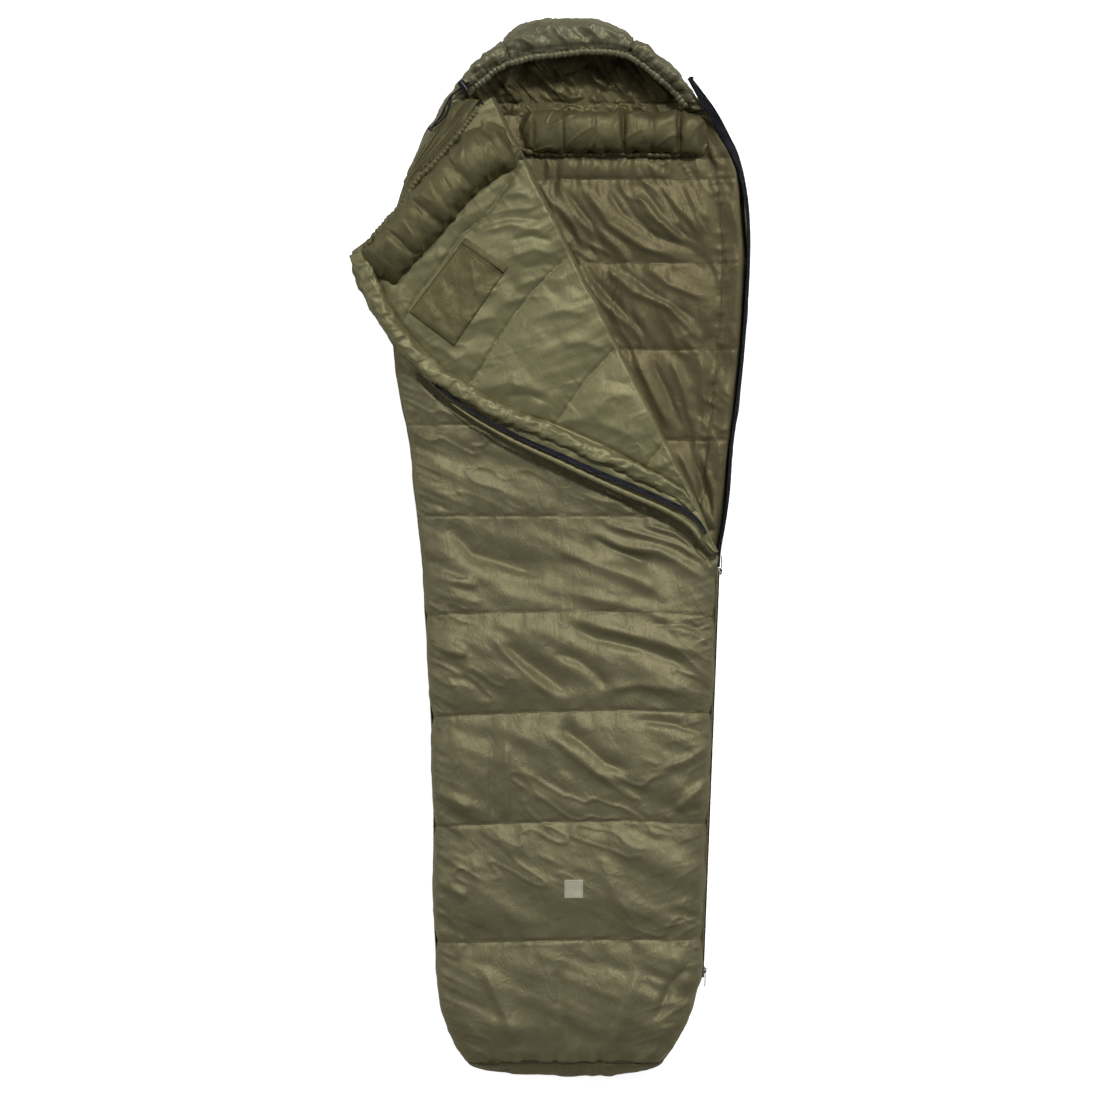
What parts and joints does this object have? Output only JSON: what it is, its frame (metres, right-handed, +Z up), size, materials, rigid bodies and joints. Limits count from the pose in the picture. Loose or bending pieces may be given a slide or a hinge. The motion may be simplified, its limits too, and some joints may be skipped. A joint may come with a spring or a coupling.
{
  "type": "mummy sleeping bag",
  "caption": "Padded mummy bag with a cinched hood, a side zip that opens from head to chest, and a front panel folded back on its hinge line.",
  "frame": {"origin": "on the floor, under the middle of the bag's outline", "axes": "+Z up, +Y towards the hood along the bag, +X towards the zip side"},
  "size_m": [0.8282, 2.201, 0.1431],
  "materials": {
    "shell_fabric": "matte olive ripstop",
    "foot_fabric": "matte olive ripstop",
    "lining_fabric": "soft satin taffeta",
    "flap_lining_fabric": "soft satin taffeta",
    "hood_lining_fabric": "soft satin taffeta",
    "insulation": "fibre batt",
    "zip_tape": "woven tape",
    "zip_coil": "satin nylon",
    "zip_metal": "satin black",
    "moulded_plastic": "moulded",
    "cord": "braided cord",
    "patch_fabric": "woven patch, blank"
  },
  "bodies": {
    "root": {"back_insulation": "insulation", "back_lining": "lining_fabric", "back_shell": "shell_fabric", "base_zip_coil": "zip_coil", "base_zip_tape": "zip_tape", "base_zip_top_stop": "zip_metal", "closed_zip_coil_back": "zip_coil", "closed_zip_coil_front": "zip_coil", "closed_zip_tape_back": "zip_tape", "closed_zip_tape_front": "zip_tape", "foot_insulation": "insulation", "foot_lining": "lining_fabric", "foot_shell": "foot_fabric", "front_insulation": "insulation", "front_lining": "lining_fabric", "front_patch": "patch_fabric", "front_shell": "shell_fabric", "hood_drawcord": "cord", "hood_drawcord_channel": "shell_fabric", "hood_insulation": "insulation", "hood_lining": "hood_lining_fabric", "hood_shell": "shell_fabric", "neck_baffle_cover": "lining_fabric", "neck_baffle_elastic": "shell_fabric", "neck_baffle_fill": "insulation", "zip_bottom_stop": "zip_metal"},
    "flap": {"chin_baffle_cover": "shell_fabric", "chin_baffle_fill": "insulation", "chin_drawcord": "cord", "chin_drawcord_channel": "shell_fabric", "draft_tube_cover": "flap_lining_fabric", "draft_tube_fill": "insulation", "flap_insulation": "insulation", "flap_lining": "flap_lining_fabric", "flap_shell": "shell_fabric", "flap_zip_coil": "zip_coil", "flap_zip_tape": "zip_tape", "flap_zip_top_stop": "zip_metal", "inner_pocket": "flap_lining_fabric", "pocket_hem": "flap_lining_fabric", "zip_facing": "shell_fabric"},
    "upper_slider": {"upper_slider_body": "zip_metal"},
    "upper_pull": {"upper_slider_pull": "moulded_plastic"},
    "lower_slider": {"lower_slider_body": "zip_metal"},
    "lower_pull": {"lower_slider_pull": "moulded_plastic"},
    "drawcord": {"cord_tail": "cord", "cord_end_bead": "moulded_plastic"},
    "cord_lock": {"cord_lock_barrel": "moulded_plastic"},
    "lock_button": {"cord_lock_button": "moulded_plastic"}
  },
  "joints": [
    {"name": "flap_fold", "type": "hinge", "parent": "root", "child": "flap", "pos_m": [0.35, -0.0125, 0.0685], "axis": [-0.448, 0.894, 0], "range_deg": [0, 120]},
    {"name": "upper_slider_travel", "type": "slide", "parent": "root", "child": "upper_slider", "axis": [-0.0394, -0.9992, 0], "range_m": [0, 0.4]},
    {"name": "upper_pull_swing", "type": "hinge", "parent": "upper_slider", "child": "upper_pull", "pos_m": [0.35936, -0.04747, 0.0363], "axis": [0, 0, -1], "range_deg": [0, 160]},
    {"name": "lower_slider_travel", "type": "slide", "parent": "root", "child": "lower_slider", "axis": [0.0394, 0.9992, 0], "range_m": [0, 0.34]},
    {"name": "lower_pull_swing", "type": "hinge", "parent": "lower_slider", "child": "lower_pull", "pos_m": [0.32653, -0.87918, 0.0363], "axis": [0, 0, 1], "range_deg": [0, 160]},
    {"name": "drawcord_swing", "type": "hinge", "parent": "root", "child": "drawcord", "pos_m": [-0.1646, 0.9646, 0.108], "axis": [0, 0, 1], "range_deg": [-20, 6]},
    {"name": "cord_lock_slide", "type": "slide", "parent": "drawcord", "child": "cord_lock", "axis": [-0.789, -0.6144, 0], "range_m": [0, 0.022]},
    {"name": "cord_lock_press", "type": "slide", "parent": "cord_lock", "child": "lock_button", "axis": [0.6144, -0.789, 0], "range_m": [0, 0.004], "stiffness_N_per_m": 400, "springref_m": -0.004}
  ]
}
